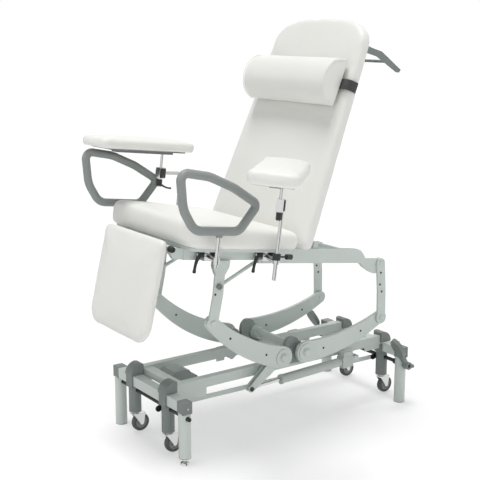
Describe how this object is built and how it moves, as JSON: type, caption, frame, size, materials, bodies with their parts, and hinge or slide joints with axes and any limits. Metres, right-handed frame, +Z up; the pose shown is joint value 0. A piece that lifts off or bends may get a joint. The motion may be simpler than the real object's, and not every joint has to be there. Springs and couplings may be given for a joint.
{
  "type": "phlebotomy chair",
  "caption": "Reclining blood draw chair on a lift base, with swing sampling pads, armrest loops, head roll, swing legrest and foot operated casters.",
  "frame": {"origin": "on the floor, midway between the four legs", "axes": "+X to the sitter's left, +Y to the head end of the chair, +Z up; the sitter faces -Y"},
  "size_m": [1.1858, 1.3496, 1.6658],
  "materials": {
    "frame_paint": "satin powder coat",
    "grey_plastic": "moulded satin",
    "bright_metal": "bright plated",
    "black_steel": "black coated",
    "black_plastic": "moulded matte",
    "wheel_tyre": "smooth grey tread",
    "upholstery": "smooth vinyl cover",
    "strap": "woven band",
    "loop_foam": "integral skin foam"
  },
  "bodies": {
    "base": {"base_frame": "frame_paint", "leg_tubes": "frame_paint", "corner_connectors": "grey_plastic", "caster_housings": "grey_plastic", "control_box": "grey_plastic", "base_brackets": "frame_paint", "bearing_pedestals": "grey_plastic"},
    "levelling_foot": {"levelling_foot": "bright_metal"},
    "rear_caster_gear": {"rear_caster_shaft": "black_steel", "foot_pedals": "grey_plastic"},
    "front_caster_gear": {"front_caster_shaft": "black_steel"},
    "caster_push_bar": {"caster_push_bar": "frame_paint"},
    "caster_stems": {"caster_stems": "bright_metal"},
    "front_lift": {"front_arms": "frame_paint", "front_shaft": "frame_paint"},
    "rear_lift": {"rear_arms": "frame_paint", "rear_shaft": "frame_paint"},
    "rear_links": {"rear_links": "frame_paint"},
    "front_actuator": {"front_actuator_case": "grey_plastic"},
    "front_actuator_rod": {"front_actuator_rod": "bright_metal"},
    "rear_actuator": {"rear_actuator_case": "grey_plastic"},
    "rear_actuator_rod": {"rear_actuator_rod": "bright_metal"},
    "top_frame": {"top_rails": "frame_paint", "front_legs": "frame_paint", "frame_brackets": "frame_paint", "seat_board": "grey_plastic", "seat_cushion": "upholstery", "rail_clamps": "bright_metal"},
    "backrest": {"back_frame": "frame_paint", "back_cushion": "upholstery", "head_roll": "upholstery", "head_roll_strap": "strap", "push_handle": "grey_plastic"},
    "legrest": {"legrest_frame": "frame_paint", "legrest_cushion": "upholstery", "hinge_knobs": "black_plastic"},
    "fork_front_left": {"fork_front_left": "bright_metal"},
    "wheel_front_left": {"wheel_front_left": "wheel_tyre"},
    "fork_rear_left": {"fork_rear_left": "bright_metal"},
    "wheel_rear_left": {"wheel_rear_left": "wheel_tyre"},
    "fork_front_right": {"fork_front_right": "bright_metal"},
    "wheel_front_right": {"wheel_front_right": "wheel_tyre"},
    "fork_rear_right": {"fork_rear_right": "bright_metal"},
    "wheel_rear_right": {"wheel_rear_right": "wheel_tyre"},
    "armrest_left": {"armrest_loop_left": "loop_foam", "armrest_post_left": "bright_metal"},
    "pad_post_left": {"pad_post_left": "bright_metal", "pad_head_left": "bright_metal"},
    "sampling_pad_left": {"pad_tray_left": "grey_plastic", "sampling_pad_left": "upholstery"},
    "armrest_right": {"armrest_loop_right": "loop_foam", "armrest_post_right": "bright_metal"},
    "pad_post_right": {"pad_post_right": "bright_metal", "pad_head_right": "bright_metal"},
    "sampling_pad_right": {"pad_tray_right": "grey_plastic", "sampling_pad_right": "upholstery"},
    "clamp_lever_1": {"clamp_lever_1": "black_plastic"},
    "clamp_lever_2": {"clamp_lever_2": "black_plastic"},
    "clamp_lever_3": {"clamp_lever_3": "black_plastic"},
    "clamp_lever_4": {"clamp_lever_4": "black_plastic"}
  },
  "joints": [
    {"name": "foot_screw", "type": "hinge", "parent": "base", "child": "levelling_foot", "pos_m": [0.249, -0.564, 0.01], "axis": [0, 0, 1], "continuous": true},
    {"name": "pedal", "type": "hinge", "parent": "base", "child": "rear_caster_gear", "pos_m": [0, 0.564, 0.178], "axis": [1, 0, 0], "range_deg": [0, 60]},
    {"name": "front_caster_turn", "type": "hinge", "parent": "base", "child": "front_caster_gear", "pos_m": [0, -0.564, 0.19], "axis": [1, 0, 0], "range_deg": [0, 60]},
    {"name": "push_bar_pin", "type": "hinge", "parent": "rear_caster_gear", "child": "caster_push_bar", "pos_m": [0.0935, 0.53957, 0.16911], "axis": [1, 0, 0], "range_deg": [-60, 0]},
    {"name": "caster_lift", "type": "slide", "parent": "base", "child": "caster_stems", "axis": [0, 0, -1], "range_m": [0, 0.024]},
    {"name": "swivel_front_left", "type": "hinge", "parent": "caster_stems", "child": "fork_front_left", "pos_m": [0.129, -0.564, 0.085], "axis": [0, 0, 1], "continuous": true},
    {"name": "roll_front_left", "type": "hinge", "parent": "fork_front_left", "child": "wheel_front_left", "pos_m": [0.129, -0.542, 0.041], "axis": [1, 0, 0], "continuous": true},
    {"name": "swivel_rear_left", "type": "hinge", "parent": "caster_stems", "child": "fork_rear_left", "pos_m": [0.129, 0.564, 0.085], "axis": [0, 0, 1], "continuous": true},
    {"name": "roll_rear_left", "type": "hinge", "parent": "fork_rear_left", "child": "wheel_rear_left", "pos_m": [0.129, 0.586, 0.041], "axis": [1, 0, 0], "continuous": true},
    {"name": "swivel_front_right", "type": "hinge", "parent": "caster_stems", "child": "fork_front_right", "pos_m": [-0.129, -0.564, 0.085], "axis": [0, 0, 1], "continuous": true},
    {"name": "roll_front_right", "type": "hinge", "parent": "fork_front_right", "child": "wheel_front_right", "pos_m": [-0.129, -0.542, 0.041], "axis": [1, 0, 0], "continuous": true},
    {"name": "swivel_rear_right", "type": "hinge", "parent": "caster_stems", "child": "fork_rear_right", "pos_m": [-0.129, 0.564, 0.085], "axis": [0, 0, 1], "continuous": true},
    {"name": "roll_rear_right", "type": "hinge", "parent": "fork_rear_right", "child": "wheel_rear_right", "pos_m": [-0.129, 0.586, 0.041], "axis": [1, 0, 0], "continuous": true},
    {"name": "lift", "type": "hinge", "parent": "base", "child": "front_lift", "pos_m": [0, -0.06, 0.315], "axis": [-1, 0, 0], "range_deg": [-24, 4]},
    {"name": "rear_lift_turn", "type": "hinge", "parent": "base", "child": "rear_lift", "pos_m": [0, 0.058, 0.315], "axis": [1, 0, 0], "range_deg": [-9, 2]},
    {"name": "rear_link_turn", "type": "hinge", "parent": "rear_lift", "child": "rear_links", "pos_m": [0, 0.471, 0.395], "axis": [1, 0, 0], "range_deg": [-5, 29]},
    {"name": "top_frame_turn", "type": "hinge", "parent": "front_lift", "child": "top_frame", "pos_m": [0, -0.409, 0.523], "axis": [1, 0, 0], "range_deg": [-19, 4]},
    {"name": "front_actuator_swing", "type": "hinge", "parent": "base", "child": "front_actuator", "pos_m": [0.179, 0.343, 0.224], "axis": [1, 0, 0], "range_deg": [-2, 7]},
    {"name": "front_actuator_stroke", "type": "slide", "parent": "front_actuator", "child": "front_actuator_rod", "axis": [0, -0.9995, -0.0327], "range_m": [-0.055, 0.012]},
    {"name": "rear_actuator_swing", "type": "hinge", "parent": "base", "child": "rear_actuator", "pos_m": [-0.179, 0.343, 0.224], "axis": [1, 0, 0], "range_deg": [-3, 1]},
    {"name": "rear_actuator_stroke", "type": "slide", "parent": "rear_actuator", "child": "rear_actuator_rod", "axis": [0, -0.9998, -0.0201], "range_m": [-0.004, 0.016]},
    {"name": "backrest_hinge", "type": "hinge", "parent": "top_frame", "child": "backrest", "pos_m": [0, 0.01194, 0.7759], "axis": [-1, 0, 0], "range_deg": [0, 72]},
    {"name": "legrest_hinge", "type": "hinge", "parent": "top_frame", "child": "legrest", "pos_m": [0, -0.59513, 0.83888], "axis": [-1, 0, 0], "range_deg": [0, 70]},
    {"name": "armrest_height_left", "type": "slide", "parent": "top_frame", "child": "armrest_left", "axis": [0, 0.1357, 0.9907], "range_m": [-0.06, 0]},
    {"name": "armrest_height_right", "type": "slide", "parent": "top_frame", "child": "armrest_right", "axis": [0, 0.1357, 0.9907], "range_m": [-0.06, 0]},
    {"name": "pad_post_swing_left", "type": "hinge", "parent": "top_frame", "child": "pad_post_left", "pos_m": [0.359, -0.21499, 0.79185], "axis": [0, 0.1357, 0.9907], "range_deg": [-20, 60]},
    {"name": "pad_post_swing_right", "type": "hinge", "parent": "top_frame", "child": "pad_post_right", "pos_m": [-0.359, -0.21499, 0.79185], "axis": [0, 0.1357, 0.9907], "range_deg": [0, 45]},
    {"name": "pad_swing_left", "type": "hinge", "parent": "pad_post_left", "child": "sampling_pad_left", "pos_m": [0.45074, -0.27236, 1.00339], "axis": [0.0459, 0.093, 0.9946], "range_deg": [-20, 40]},
    {"name": "pad_swing_right", "type": "hinge", "parent": "pad_post_right", "child": "sampling_pad_right", "pos_m": [-0.33105, -0.30456, 1.03018], "axis": [0.0024, 0.1256, 0.9921], "range_deg": [-40, 5]},
    {"name": "clamp_turn_left_front", "type": "hinge", "parent": "top_frame", "child": "clamp_lever_1", "pos_m": [0.226, -0.4621, 0.80349], "axis": [0, -0.9907, 0.1357], "range_deg": [0, 90]},
    {"name": "clamp_turn_left_rear", "type": "hinge", "parent": "top_frame", "child": "clamp_lever_2", "pos_m": [0.226, -0.19063, 0.76631], "axis": [0, -0.9907, 0.1357], "range_deg": [0, 90]},
    {"name": "clamp_turn_right_front", "type": "hinge", "parent": "top_frame", "child": "clamp_lever_3", "pos_m": [-0.226, -0.4621, 0.80349], "axis": [0, 0.9907, -0.1357], "range_deg": [0, 90]},
    {"name": "clamp_turn_right_rear", "type": "hinge", "parent": "top_frame", "child": "clamp_lever_4", "pos_m": [-0.226, -0.19063, 0.76631], "axis": [0, 0.9907, -0.1357], "range_deg": [0, 90]}
  ],
  "couplings": [
    {"joint": "front_caster_turn", "follows": "pedal", "ratio": 1},
    {"joint": "push_bar_pin", "follows": "pedal", "ratio": -1},
    {"joint": "caster_lift", "follows": "pedal", "m_per_rad": 0.0225},
    {"joint": "top_frame_turn", "follows": "lift", "ratio": 0.773},
    {"joint": "rear_lift_turn", "follows": "lift", "ratio": 0.345},
    {"joint": "rear_link_turn", "follows": "lift", "ratio": -1.171},
    {"joint": "front_actuator_swing", "follows": "lift", "ratio": -0.2555},
    {"joint": "front_actuator_stroke", "follows": "lift", "m_per_rad": 0.12209},
    {"joint": "rear_actuator_swing", "follows": "lift", "ratio": 0.101},
    {"joint": "rear_actuator_stroke", "follows": "lift", "m_per_rad": -0.03166}
  ]
}
